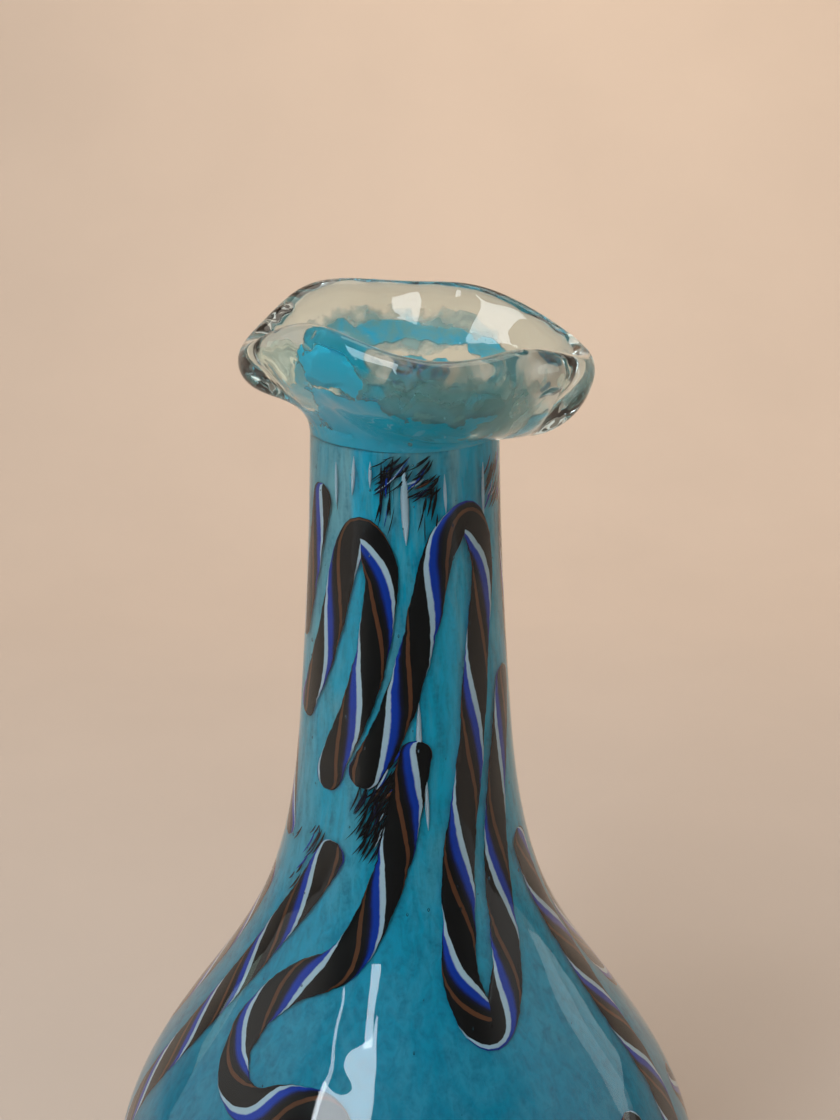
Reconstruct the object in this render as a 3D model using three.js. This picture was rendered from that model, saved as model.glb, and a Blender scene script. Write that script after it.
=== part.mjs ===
// Hand blown art glass vase: a cased bottle with a long neck and a ruffled lip.
// Millimetres, +Z up, origin at the middle of the base. The widest view of the lip faces -Y.

import * as THREE from 'three';
import { mergeVertices } from 'three/addons/utils/BufferGeometryUtils.js';

// ---------------------------------------------------------------- driving dimensions

const BASE_RADIUS = 25;          // the flat ring that the vase stands on
const BULB_RADIUS = 50;
const BULB_HEIGHT = 42;          // height of the widest girth
const NECK_TOP = 174;            // where the lip wrap starts
const BASE_EXTRA = 2.5;          // the base is this much thicker than the walls

const CASING_WALL = 2.0;         // clear gather
const CANE_DEPTH = 2.9;          // middle of the canes, below the outer surface
const CANE_THICKNESS = 0.8;
const COLOUR_DEPTH = 3.7;        // outer face of the turquoise gather
const COLOUR_WALL = 1.3;
const FRINGE_SHARES = [1, 0.8, 0.6, 0.4, 0.16];   // of the way down the bore, up from its foot
const FIT_GAP = 0.3;             // kept between neighbouring pieces of glass

const PAD_RADIUS = 15;           // ground button of glass in the middle of the base
const PAD_THICKNESS = 2.2;

// shoulder and neck, outside: [radius, height]. The second point is the widest girth, and the
// first only makes the curve upright there.
const SHOULDER = [
  [49.6, 36], [50, 42], [49.5, 48], [48.05, 54], [45.6, 60], [38.5, 72], [30.2, 84],
  [23.5, 96], [19.6, 108], [16.5, 132], [15, 156], [14.4, NECK_TOP],
];

// Section of the lip: up the outside, over the rim and down the bore. Each point has its radius
// and height, then its share of the rim's wave, of the droop and of the two pinches.
const LIP_OUTSIDE = [
  [14.4, 174.3, 0, 0, 0], [15.1, 175.6, 0.08, 0.45, 0], [17.4, 177.4, 0.3, 0.9, 0.15],
  [20.8, 179.2, 0.6, 1, 0.6], [24, 181.8, 0.85, 0.7, 1], [25.8, 185.2, 1, 0.25, 0.8],
  [25.9, 188.4, 1, 0, 0.25], [24.6, 190.4, 1, 0, 0], [22.9, 190.5, 1, 0, 0],
];
const LIP_INSIDE = [
  [21.4, 188.8, 0.95, 0, 0], [20.2, 186.3, 0.8, 0.1, 0.1], [17.6, 183.8, 0.5, 0.2, 0.15],
  [14.7, 181.2, 0.25, 0.15, 0.1], [12.3, 178, 0.08, 0, 0], [11, 174.3, 0, 0, 0],
];

const NECK_CANE_WIDTH = 4.3;     // canes are drawn thin in the neck
const BULB_CANE_WIDTH = 6.2;     // and keep their full width on the bulb
const DRAWN_RADII = [12, 30];    // wall radii between which they go from the one to the other

// Canes, each as a route of [angle, height]: degrees round from the front to the right,
// and height above the base. They were combed up and down, so the long ones run in loops.
const CANES = [
  // front of the neck: looped up and down again
  [[-82, 129], [-72, 134], [-63, 139], [-55, 145], [-49, 151], [-42, 157], [-30, 161],
    [-18, 157], [-17, 150], [-21, 143], [-27, 137], [-35, 131], [-45, 125], [-52, 119]],
  // front of the neck: up, down to the shoulder, then up the right side
  [[-29, 121], [-17, 127], [-6, 133], [3, 140], [11, 147], [18, 154], [28, 160], [43, 163],
    [58, 158], [57, 149], [50, 140], [45, 131], [39, 122], [32, 114], [27, 106], [24, 98],
    [22, 90], [29, 84], [38, 88], [45, 94], [49, 101], [53, 108], [58, 115], [65, 122],
    [73, 129], [80, 137]],
  // front of the shoulder, curling off to the left and back
  [[8, 129], [3, 123], [-1, 117], [-6, 110], [-12, 104], [-19, 98], [-28, 93], [-40, 90],
    [-50, 86], [-56, 80], [-52, 74], [-42, 72], [-32, 74], [-22, 74], [-14, 69], [-10, 60]],
  // left side of the neck and shoulder
  [[-38, 111], [-45, 107], [-54, 101], [-63, 95], [-71, 87], [-77, 78], [-81, 69], [-85, 59],
    [-84, 49], [-77, 41]],
  [[-103, 124], [-95, 117], [-83, 107]],
  [[-67, 167], [-73, 161], [-80, 154], [-87, 148], [-94, 141]],
  [[-93, 100], [-98, 92], [-101, 83], [-103, 73], [-109, 65], [-117, 70], [-117, 81],
    [-114, 92], [-112, 103], [-112, 114]],
  // right side of the shoulder
  [[76, 109], [78, 102], [81, 95], [83, 86], [81, 77], [80, 68], [77, 59], [70, 51], [62, 56],
    [60, 66]],
  // right side and back of the neck and shoulder
  [[102, 165], [99, 156], [101, 147], [104, 138], [108, 128], [109, 118], [107, 108],
    [103, 99], [99, 90], [99, 81], [105, 74], [113, 79], [117, 89], [120, 99], [124, 109],
    [129, 119], [134, 129], [137, 138], [139, 147]],
  [[166, 166], [163, 157], [165, 148], [166, 139], [162, 130], [157, 120], [153, 110],
    [152, 100], [154, 91], [160, 84], [168, 82], [175, 88], [178, 97], [181, 107], [185, 117],
    [190, 127], [196, 137], [202, 147], [210, 156], [222, 161], [234, 156], [234, 146],
    [229, 137], [224, 128], [219, 118]],
  [[206, 112], [203, 103], [199, 95], [195, 86], [190, 77], [181, 70], [170, 65]],
  [[227, 110], [223, 101], [218, 93], [212, 85], [207, 76], [205, 66], [211, 58], [220, 61],
    [224, 71], [226, 81]],
  // low on the bulb, all the way round
  [[10, 73], [4, 64], [5, 53], [13, 46], [22, 50], [26, 60], [33, 68], [43, 66], [47, 56],
    [46, 46]],
  [[-62, 56], [-53, 61], [-42, 59], [-34, 51], [-33, 41], [-41, 33]],
  [[-16, 46], [-8, 38], [3, 32], [16, 30], [28, 34]],
  [[90, 60], [95, 50], [104, 43], [115, 46], [121, 56], [127, 65], [136, 62], [139, 51]],
  [[194, 58], [186, 49], [175, 43], [163, 41], [153, 47]],
  [[256, 52], [251, 42], [255, 32], [266, 29], [275, 36]],
  [[240, 46], [231, 38], [220, 35], [208, 40], [202, 49]],
  [[60, 38], [70, 32], [82, 30], [93, 34]],
];

// mesh fineness
const ROUND_STEPS = 40;
const LIP_STEPS = 60;
const LIP_SECTION_STEPS = 28;
const CANE_SIDES = 6;
const CANE_CAP_STEPS = 2;
const CANE_STEP_LENGTH = 4.6;
const HALVINGS = 30;             // when a height on the shoulder is looked up

const toRadians = THREE.MathUtils.degToRad;
const point = (r, z) => new THREE.Vector2(r, z);

// ---------------------------------------------------------------- wall of the vase

const shoulderCurve = new THREE.SplineCurve(SHOULDER.map(([r, z]) => point(r, z)));
const GIRTH_SHARE = 1 / (SHOULDER.length - 1);
const BOWL_SPAN = Math.acos(BASE_RADIUS / BULB_RADIUS);

// point and outward normal of the outer profile, t from 0 at the girth to 1 at the neck's top
function shoulderAt(t) {
  const share = THREE.MathUtils.lerp(GIRTH_SHARE, 1, t);
  const tangent = shoulderCurve.getTangent(share);
  return { point: shoulderCurve.getPoint(share), normal: new THREE.Vector2(tangent.y, -tangent.x) };
}

// half-width and half-height of the ellipse that the lower bulb follows at a depth
function bowlSize(depth) {
  const floor = depth > 0 ? depth + BASE_EXTRA : 0;
  return { across: BULB_RADIUS - depth, down: (BULB_HEIGHT - floor) / Math.sin(BOWL_SPAN) };
}

// profile of the wall at a depth, from the edge of the floor up to the neck's top
function wallProfile(depth, bowlSteps = 6, shoulderSteps = 13) {
  const points = [];
  const { across, down } = bowlSize(depth);
  for (let i = 0; i < bowlSteps; i += 1) {
    const angle = BOWL_SPAN * (1 - i / bowlSteps);
    points.push(point(across * Math.cos(angle), BULB_HEIGHT - down * Math.sin(angle)));
  }
  for (let i = 0; i <= shoulderSteps; i += 1) {
    const outside = shoulderAt(i / shoulderSteps);
    const inset = outside.point.addScaledVector(outside.normal, -depth);
    if (i === shoulderSteps) inset.y = NECK_TOP;
    points.push(inset);
  }
  return points;
}

// radius and outward slope of the wall at a depth and a height
function wallAt(depth, height) {
  if (height <= BULB_HEIGHT) {
    const { across, down } = bowlSize(depth);
    const angle = Math.asin((BULB_HEIGHT - height) / down);
    const normal = new THREE.Vector2(down * Math.cos(angle), -across * Math.sin(angle));
    return { radius: across * Math.cos(angle), normal: normal.normalize() };
  }
  let low = 0;
  let high = 1;
  for (let i = 0; i < HALVINGS; i += 1) {
    const middle = (low + high) / 2;
    const outside = shoulderAt(middle);
    if (outside.point.y - depth * outside.normal.y < height) low = middle; else high = middle;
  }
  const outside = shoulderAt(low);
  return { radius: outside.point.x - depth * outside.normal.x, normal: outside.normal };
}

// ---------------------------------------------------------------- ways of making glass

// Turns a closed profile about the vase's axis. Angle 0 is at the front, towards -Y.
function turned(profile, steps = ROUND_STEPS) {
  const geometry = new THREE.LatheGeometry(profile, steps);
  geometry.rotateX(Math.PI / 2);
  return geometry;
}

// Bump of height 1 round an angle, both in degrees
function bump(angle, middle, width) {
  const away = THREE.MathUtils.euclideanModulo(angle - middle + 180, 360) - 180;
  return Math.exp(-((away / width) ** 2));
}

// Points of the lip's section at an angle, where the rim waves up and down and in and out, the
// underside droops to the right, and the wall is pinched between the front and each side.
function lipSection(points, angle) {
  const { sin, cos } = Math;
  const a = toRadians(angle);
  const lift = -0.7 - sin(a) - 0.2 * cos(a) - 0.7 * sin(2 * a) + 2.2 * cos(2 * a)
    - 0.3 * sin(3 * a) - 0.3 * cos(3 * a) - 0.5 * sin(4 * a) - 1.35 * cos(4 * a)
    + 0.8 * bump(angle, -95, 30) + 1.7 * bump(angle, -155, 28) + 0.8 * bump(angle, 165, 30);
  const reach = 1.4 * sin(a) + 0.4 * sin(2 * a) + 0.4 * cos(2 * a) - 0.7 * sin(3 * a)
    + 0.35 * cos(3 * a) + 0.9 * sin(4 * a) + 0.75 * cos(4 * a)
    + 0.8 * bump(angle, -97, 22) + 0.5 * bump(angle, 95, 22);
  const droop = 0.3 + 2.4 * sin(a);
  const pinch = 4 * bump(angle, 78, 13) + 3.2 * bump(angle, -68, 12);
  return points.map(([r, z, wave, sag, nip]) => point(
    r + wave * reach - nip * pinch, z + wave * lift - sag * droop,
  ));
}

// Sweeps a closed outline that changes with the angle right round the vase.
function swept(outlineAt, steps = LIP_STEPS) {
  const outlines = [];
  for (let i = 0; i <= steps; i += 1) outlines.push(outlineAt((360 * i) / steps));
  const geometry = new THREE.LatheGeometry(outlines[0], steps);
  const positions = geometry.attributes.position;
  const rows = outlines[0].length;
  for (let i = 0; i < positions.count; i += 1) {
    const column = Math.floor(i / rows);
    const angle = toRadians((360 * column) / steps);
    const { x: radius, y: height } = outlines[column][i % rows];
    positions.setXYZ(i, radius * Math.sin(angle), -radius * Math.cos(angle), height);
  }
  return geometry;
}

// Width of a cane where the wall has a given radius.
function caneWidth(radius) {
  const share = THREE.MathUtils.smoothstep(radius, ...DRAWN_RADII);
  return THREE.MathUtils.lerp(NECK_CANE_WIDTH, BULB_CANE_WIDTH, share);
}

// Lays a flattened rod with round ends along a route on the wall, between casing and colour.
function laidCane(route) {
  const onWall = (angle, height) => {
    const { radius, normal } = wallAt(CANE_DEPTH, height);
    const round = new THREE.Vector3(Math.sin(angle), -Math.cos(angle), 0);
    return {
      point: round.clone().multiplyScalar(radius).setZ(height),
      normal: round.multiplyScalar(normal.x).setZ(normal.y),
      width: caneWidth(radius),
    };
  };
  const path = new THREE.CatmullRomCurve3(route.map(([a, z]) => onWall(toRadians(a), z).point));
  const length = path.getLength();
  const steps = Math.round(length / CANE_STEP_LENGTH);
  // a capsule along Y: X becomes across the cane, Y along it, and Z its thickness
  const cap = NECK_CANE_WIDTH / 2;
  const rod = new THREE.CapsuleGeometry(cap, length - 2 * cap, CANE_CAP_STEPS, CANE_SIDES, steps);
  const positions = rod.attributes.position;
  for (let i = 0; i < positions.count; i += 1) {
    const share = THREE.MathUtils.clamp(positions.getY(i) / length + 0.5, 0, 1);
    const centre = path.getPointAt(share);
    const forward = path.getTangentAt(share);
    const middle = onWall(Math.atan2(centre.x, -centre.y), centre.z);
    const across = forward.clone().cross(middle.normal).normalize();
    centre.addScaledVector(across, (positions.getX(i) / cap) * middle.width / 2);
    const seat = onWall(Math.atan2(centre.x, -centre.y), centre.z);
    seat.point.addScaledVector(seat.normal, (positions.getZ(i) / cap) * CANE_THICKNESS / 2);
    positions.setXYZ(i, seat.point.x, seat.point.y, seat.point.z);
  }
  return rod;
}

const vase = new THREE.Group();

function addPiece(name, geometry, look) {
  geometry.deleteAttribute('normal');
  geometry.deleteAttribute('uv');
  const merged = mergeVertices(geometry, 1e-4);
  merged.computeVertexNormals();
  const mesh = new THREE.Mesh(merged, new THREE.MeshStandardMaterial(look));
  mesh.name = name;
  vase.add(mesh);
}

const CLEAR = { color: 0xdfeeea, roughness: 0.03, metalness: 0, transparent: true, opacity: 0.35 };

// ---------------------------------------------------------------- gathers of glass

function colourLayer() {
  const outside = wallProfile(COLOUR_DEPTH);
  const inside = wallProfile(COLOUR_DEPTH + COLOUR_WALL).reverse();
  const floor = COLOUR_DEPTH + BASE_EXTRA;
  return turned([point(0, floor), ...outside, ...inside, point(0, floor + COLOUR_WALL)]);
}

function clearCasing() {
  const recess = PAD_RADIUS + FIT_GAP;
  const roof = PAD_THICKNESS + FIT_GAP;
  return turned([
    point(0, roof), point(recess, roof), point(recess, 0),
    ...wallProfile(0), ...wallProfile(CASING_WALL).reverse(), point(0, CASING_WALL + BASE_EXTRA),
  ]);
}

function ruffledLip() {
  return swept((angle) => {
    const section = new THREE.SplineCurve(lipSection([...LIP_OUTSIDE, ...LIP_INSIDE], angle));
    return [...section.getPoints(LIP_SECTION_STEPS), section.getPoint(0)];
  });
}

// The turquoise runs on up the flare, lying on the inside of the lip.
function colourFringe() {
  const thickness = COLOUR_WALL - FIT_GAP;
  return swept((angle) => {
    const inside = new THREE.SplineCurve(lipSection(LIP_INSIDE, angle));
    const offset = (share, depth) => {
      const { x, y } = inside.getTangent(share);
      const lifted = inside.getPoint(share).add(point(y, -x).multiplyScalar(depth));
      return lifted.setY(Math.max(lifted.y, NECK_TOP + FIT_GAP));
    };
    const lower = FRINGE_SHARES.map((share) => offset(share, FIT_GAP));
    const upper = FRINGE_SHARES.map((share) => offset(share, FIT_GAP + thickness)).reverse();
    return [...lower, ...upper, lower[0]];
  });
}

function puntyPad() {
  const bevel = 0.5;
  return turned([
    point(0, 0), point(PAD_RADIUS - bevel, 0), point(PAD_RADIUS, bevel),
    point(PAD_RADIUS, PAD_THICKNESS), point(0, PAD_THICKNESS),
  ]);
}

addPiece('inner_colour_layer', colourLayer(), { color: 0x0a7f98, roughness: 0.12, metalness: 0 });
addPiece('clear_casing', clearCasing(), CLEAR);
addPiece('ruffled_lip', ruffledLip(), CLEAR);
addPiece('colour_fringe', colourFringe(), { color: 0x1c95ab, roughness: 0.15, metalness: 0 });
addPiece('punty_pad', puntyPad(), CLEAR);

// ---------------------------------------------------------------- canes

CANES.forEach((route, i) => {
  const name = `cane_${String(i + 1).padStart(2, '0')}`;
  addPiece(name, laidCane(route), { color: 0x1a1c33, roughness: 0.2, metalness: 0 });
});

export default vase;
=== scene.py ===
"""Hand blown art glass vase: turquoise glass, looped twisted canes, clear casing and ruffled lip.

Laid out as a Blender add-on and run as a script. Everything is in metres, +Z up, with the origin
in the middle of the base.
"""

import math

import bpy
import numpy as np
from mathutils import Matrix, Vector, noise


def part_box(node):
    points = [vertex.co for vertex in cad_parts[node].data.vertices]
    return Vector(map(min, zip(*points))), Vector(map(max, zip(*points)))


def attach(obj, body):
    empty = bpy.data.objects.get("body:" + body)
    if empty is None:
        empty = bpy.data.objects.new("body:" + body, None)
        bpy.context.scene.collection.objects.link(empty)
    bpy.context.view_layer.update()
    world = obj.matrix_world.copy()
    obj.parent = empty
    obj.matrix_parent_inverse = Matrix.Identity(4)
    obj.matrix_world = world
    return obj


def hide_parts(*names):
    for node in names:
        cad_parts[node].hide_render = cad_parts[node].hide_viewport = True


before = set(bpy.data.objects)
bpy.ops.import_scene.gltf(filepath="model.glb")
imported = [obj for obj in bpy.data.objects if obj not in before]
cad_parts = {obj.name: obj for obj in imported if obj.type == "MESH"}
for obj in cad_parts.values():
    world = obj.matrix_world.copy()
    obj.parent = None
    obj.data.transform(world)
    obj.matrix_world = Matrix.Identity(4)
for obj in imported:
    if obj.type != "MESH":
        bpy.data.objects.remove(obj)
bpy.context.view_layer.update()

bl_info = {
    "name": "Cased cane vase",
    "version": (1, 0, 0),
    "blender": (4, 5, 0),
    "location": "3D View > Sidebar > Vase",
    "description": "Builds the finished glass of a hand blown vase around its packed solids",
    "category": "Object",
}

MM = 0.001
ON_AXIS = 1e-6
BODY = "root"

# ------------------------------------------------------------------ sizes, in millimetres

CASING_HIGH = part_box("clear_casing")[1]
PAD_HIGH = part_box("punty_pad")[1]

BULB_RADIUS = CASING_HIGH[0] / MM
NECK_TOP = CASING_HIGH[2] / MM
BULB_HEIGHT = 42.0
BASE_RADIUS = 25.0
PAD_RADIUS = PAD_HIGH[0] / MM
PAD_THICKNESS = PAD_HIGH[2] / MM

# shoulder and neck, outside, above the widest girth: (radius, height)
SHOULDER = [
    (49.5, 48), (48.05, 54), (45.6, 60), (38.5, 72), (30.2, 84), (23.5, 96),
    (19.6, 108), (16.5, 132), (15, 156), (14.4, NECK_TOP),
]
ABOVE_NECK = (14.3, 178)  # only steers the curve at the neck's top
BOWL_KNOTS = 6

COLOUR_DEPTH = 3.5        # outer face of the turquoise, below the outer surface of the glass
COLOUR_INNER = 5.0        # inner face, the bore
CASING_INNER = 4.2        # the clear glass ends inside the turquoise, so they read as one wall
CANE_DEPTH = 2.9
CANE_THICKNESS = 1.1
BASE_EXTRA = 2.5          # the floor is this much thicker than the walls
RECESS_GAP = 0.1          # round and above the punty pad
RECESS_BEVEL = 0.3
PAD_RIM = 2.0             # flat ring round the polished dish of the pad
PAD_DISH = 0.45

# Section of the lip: up the outside, over the rim and down the bore. Each point has its radius
# and height, then its share of the rim's wave, of the droop and of the two pinches.
LIP_OUTSIDE = [
    (14.4, NECK_TOP, 0, 0, 0), (15.0, 175.6, 0.08, 0.45, 0), (17.4, 177.4, 0.3, 0.9, 0.15),
    (20.8, 179.2, 0.6, 1, 0.6), (24.0, 181.8, 0.85, 0.7, 1), (25.8, 185.2, 1, 0.25, 0.8),
    (25.9, 188.4, 1, 0, 0.25), (24.6, 190.4, 1, 0, 0), (22.9, 190.5, 1, 0, 0),
]
LIP_INSIDE = [
    (21.4, 188.8, 0.95, 0, 0), (19.8, 185.9, 0.8, 0.1, 0.1), (16.8, 183.0, 0.5, 0.2, 0.15),
    (13.6, 180.2, 0.25, 0.15, 0.1), (11.2, 177.2, 0.08, 0, 0),
    (14.4 - CASING_INNER, NECK_TOP, 0, 0, 0),
]

FRINGE_DEPTH = 1.0        # the turquoise in the lip lies this far behind its inner face
FRINGE_THICKNESS = 0.5
FRINGE_TOP = 0.95         # share of the way up the bore where it ends
FRINGE_EDGE = 0.5         # cover at which it has its full thickness
COVER_ROUGHNESS = 0.55    # how ragged the turquoise and its veils are
VEIL_ROUGHNESS = 0.3
VEIL_DENSITY = 0.5
SOLID_EDGE = (-0.04, 0.1)     # cover between which the turquoise turns solid
PAINTED_LIGHT_ANGLE = -25        # painted light: where the lip's turquoise is painted lightest, facing the window lamp, and how far that spreads
PAINTED_LIGHT_SPREAD = 70

# how fine the curves and meshes are
WALL_MARKS = 900
WALL_STRIDE = 12
CASING_OUTSIDE_ROWS, COLOUR_OUTSIDE_ROWS, INSIDE_ROWS = 220, 150, 110
ROUND_STEPS, COLOUR_STEPS, PAD_STEPS = 200, 160, 96
PAD_ROWS = 14
LIP_STEPS, LIP_ROWS, LIP_SAMPLES = 300, 150, 600
FRINGE_STEPS, FRINGE_ROWS, BORE_ROWS = 480, 100, 200
CANE_STEP, CANE_SIDES = 0.45, 16
STROKE_STEP, STROKE_SIDES = 0.5, 6
ROUTE_SAMPLES = 400
FEWEST_RINGS = 12
SEED_RINGS, SEED_SIDES = 7, 8

# Sheets and islands of turquoise in the flare: (angle, share of the way up the bore, half-width
# in degrees, half-height as a share, how solid)
FRINGE_PATCHES = [
    (0, -0.1, 400, 0.3, 1.2),
    (-34, 0.36, 30, 0.34, 1.5), (-8, 0.36, 28, 0.34, 1.6), (14, 0.32, 24, 0.28, 1.4),
    (34, 0.2, 22, 0.22, 1.2), (-29, 0.83, 17, 0.14, 1.6), (30, 0.62, 7, 0.05, 0.5),
    (180, 0.72, 20, 0.08, 1.0), (156, 0.7, 16, 0.07, 0.9), (132, 0.66, 16, 0.09, 0.8),
    (208, 0.68, 14, 0.12, 0.9), (176, 0.44, 11, 0.06, 1.0), (154, 0.42, 10, 0.07, 1.0),
    (-112, 0.5, 22, 0.16, 0.7), (100, 0.4, 18, 0.14, 0.6), (-85, 0.25, 20, 0.12, 0.6),
]
FRINGE_VEILS = [
    (16, 0.45, 60, 0.5, 2.2), (185, 0.72, 66, 0.2, 1.2), (-100, 0.5, 28, 0.26, 0.6),
    (88, 0.36, 24, 0.26, 0.6),
]

# stripes that the combed strokes were torn from, as shares of a set of stripes, and how often
WISP_TONES = [0.7, 0.3, 0.22, 0.13, 0.45, 0.0]
WISP_SHARES = [0.45, 0.18, 0.14, 0.1, 0.05, 0.08]
WISP_WIDTHS = (0.12, 0.5)
WISP_SCATTER = 5          # degrees by which the lean of a stroke varies
WISP_THICKNESS = 0.35
WISP_DRAWS = 11           # where their random draws start
SHORTEST_WISP = 0.35      # as a share of the longest
SLIVER_TONE = 0.95
SLIVER_SCATTER = 0.03     # radians
SLIVER_THICKNESS = 0.5
# how far a stroke swings round at its foot, middle and tip, as a share of half its run
STROKE_BOW = (-1.15, 0.1, 0.85)
TOP_MARGIN = 1            # strokes end this far below the neck's top

SEED_COUNT = 170
SEED_DRAWS = 5
# lowest height, how far up they reach, and how they crowd upwards (less than 1)
SEED_HEIGHT, SEED_REACH, SEED_CROWDING = 40, 132, 0.7
SEED_RISES = (0.9, 2.0)       # above the middle of the canes
SEED_SIZES = (0.07, 0.2)
SEED_STRETCH = (1, 2.5)

NECK_CANE_WIDTH = 4.9
BULB_CANE_WIDTH = 6.4
NECK_TWIST = 45.0         # length of one twist of a cane, stretched in the neck
BULB_TWIST = 30.0
STRIPE_SETS = 2           # times that the stripes repeat round a cane
STRIPE_DRIFT = 0.07       # how unsteady they are
VEIN_SHADE = (1, 0.45, 0.5)   # dark veins of the turquoise, as shares of its colour
WIDTH_RADII = (12, 30)    # wall radii between which canes go from the one width to the other
TWIST_RADII = (12, 28)    # and from the one twist to the other
WANDER_LENGTH, WANDER_SHARE = 3.5, 0.10       # slow and quick changes in a cane's width
FRAY_LENGTH, FRAY_SHARE = 0.9, 0.05
BLUNTEST, SHARPEST = 0.002, 0.05      # least taper of a round end and of a pointed one
POINT_POWER = 0.8

# Canes, each as where its stripes start and its route of (angle, height): degrees round from the
# front to the right, and height.
CANES = [
    # front of the neck: looped up and down again
    (0.37, [(-82, 129), (-72, 134), (-63, 139), (-55, 145), (-49, 151), (-42, 157), (-30, 161),
            (-18, 157), (-17, 150), (-21, 143), (-27, 137), (-35, 131), (-45, 125), (-52, 119)]),
    # front of the neck, up, down to the shoulder, then up the right side
    (0.0, [(-29, 121), (-17, 127), (-6, 133), (3, 140), (11, 147), (18, 154), (28, 160), (43, 163),
           (58, 158), (57, 149), (50, 140), (45, 131), (39, 122), (32, 114), (27, 106), (24, 98),
           (22, 90), (29, 84), (38, 88), (45, 94), (49, 101), (53, 108), (58, 115), (65, 122),
           (73, 129), (80, 137)]),
    # front of the shoulder, curling off to the left and back
    (0.15, [(8, 129), (3, 123), (-1, 117), (-6, 110), (-12, 104), (-19, 98), (-28, 93), (-40, 90),
            (-50, 86), (-56, 80), (-52, 74), (-42, 72), (-32, 74), (-22, 74), (-14, 69),
            (-10, 60)]),
    # left side of the neck and shoulder
    (0.5, [(-38, 111), (-45, 107), (-54, 101), (-63, 95), (-71, 87), (-77, 78), (-81, 69),
           (-85, 59), (-84, 49), (-77, 41)]),
    (0.6, [(-103, 124), (-95, 117), (-83, 107)]),
    (0.2, [(-67, 167), (-73, 161), (-80, 154), (-87, 148), (-94, 141)]),
    (0.0, [(-93, 100), (-98, 92), (-101, 83), (-103, 73), (-109, 65), (-117, 70), (-117, 81),
           (-114, 92), (-112, 103), (-112, 114)]),
    # right side of the shoulder
    (0.8, [(76, 109), (78, 102), (81, 95), (83, 86), (81, 77), (80, 68), (77, 59), (70, 51),
           (62, 56), (60, 66)]),
    # right side and back of the neck and shoulder
    (0.3, [(102, 165), (99, 156), (101, 147), (104, 138), (108, 128), (109, 118), (107, 108),
           (103, 99), (99, 90), (99, 81), (105, 74), (113, 79), (117, 89), (120, 99), (124, 109),
           (129, 119), (134, 129), (137, 138), (139, 147)]),
    (0.7, [(166, 166), (163, 157), (165, 148), (166, 139), (162, 130), (157, 120), (153, 110),
           (152, 100), (154, 91), (160, 84), (168, 82), (175, 88), (178, 97), (181, 107),
           (185, 117), (190, 127), (196, 137), (202, 147), (210, 156), (222, 161), (234, 156),
           (234, 146), (229, 137), (224, 128), (219, 118)]),
    (0.1, [(206, 112), (203, 103), (199, 95), (195, 86), (190, 77), (181, 70), (170, 65)]),
    (0.4, [(227, 110), (223, 101), (218, 93), (212, 85), (207, 76), (205, 66), (211, 58),
           (220, 61), (224, 71), (226, 81)]),
    # low on the bulb, all the way round
    (0.9, [(10, 73), (4, 64), (5, 53), (13, 46), (22, 50), (26, 60), (33, 68), (43, 66), (47, 56),
           (46, 46)]),
    (0.2, [(-62, 56), (-53, 61), (-42, 59), (-34, 51), (-33, 41), (-41, 33)]),
    (0.5, [(-16, 46), (-8, 38), (3, 32), (16, 30), (28, 34)]),
    (0.6, [(90, 60), (95, 50), (104, 43), (115, 46), (121, 56), (127, 65), (136, 62), (139, 51)]),
    (0.1, [(194, 58), (186, 49), (175, 43), (163, 41), (153, 47)]),
    (0.3, [(256, 52), (251, 42), (255, 32), (266, 29), (275, 36)]),
    (0.8, [(240, 46), (231, 38), (220, 35), (208, 40), (202, 49)]),
    (0.0, [(60, 38), (70, 32), (82, 30), (93, 34)]),
]

# Combed ends of canes: (angle, height, spread round, spread up, count, lean to the right in
# degrees, longest stroke)
WISPS = [
    (2, 170.5, 19, 2.2, 32, 42, 6),
    (-13, 166.5, 4, 4, 12, 8, 7),
    (14, 169, 8, 2.2, 16, 55, 4),
    (16, 164.5, 6, 3, 8, 12, 5),
    (-9, 122, 9, 4.5, 60, 32, 8),
    (-20, 116, 9, 4.5, 46, 22, 8),
    (-60, 107, 14, 5, 16, 30, 6),
    (90, 167, 24, 3, 40, 35, 5),
    (150, 128, 12, 6, 40, 30, 8),
    (200, 168, 22, 3, 40, 40, 5),
    (244, 112, 14, 6, 36, 30, 8),
]

# Slivers of pale glass drawn out down the neck: (angle, height, length, width)
SLIVERS = [
    (0, 165.5, 12, 1.2), (-37, 169.5, 6, 0.6), (-52, 168, 7, 0.5), (28, 167, 6, 0.5),
    (62, 166, 9, 0.7), (-24, 170, 4, 0.5), (8, 128, 14, 0.9), (12, 119, 9, 0.6),
    (110, 160, 10, 0.8), (150, 166, 9, 0.9), (190, 163, 12, 1), (235, 167, 8, 0.7),
    (265, 158, 11, 0.8), (172, 126, 12, 0.8), (215, 134, 9, 0.7),
]

# ------------------------------------------------------------------ studio, in metres and degrees

SENSOR_HEIGHT = 36        # mm
LENS = 57.9               # mm
CLIP_START = 0.01
EYE = (0, -0.2664, 0.2394)
LOOK_DOWN, LOOK_ASIDE = 17.94, -0.5

SWEEP_FRONT, SWEEP_BACK, SWEEP_TOP = -0.3, 0.75, 1.2
SWEEP_BEND, SWEEP_HALF = 0.35, 1.6
SWEEP_BEND_STEPS = 16
SWEEP_MOTTLE = 0.96       # darkest spots of the paper

VASE_MIDDLE = (0, 0, 0.1)
BACKDROP = (0.1, 0.75, 0.42)
DAY = (0.86, 0.94, 1.0)
WARM = (1.0, 0.86, 0.72)
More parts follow.
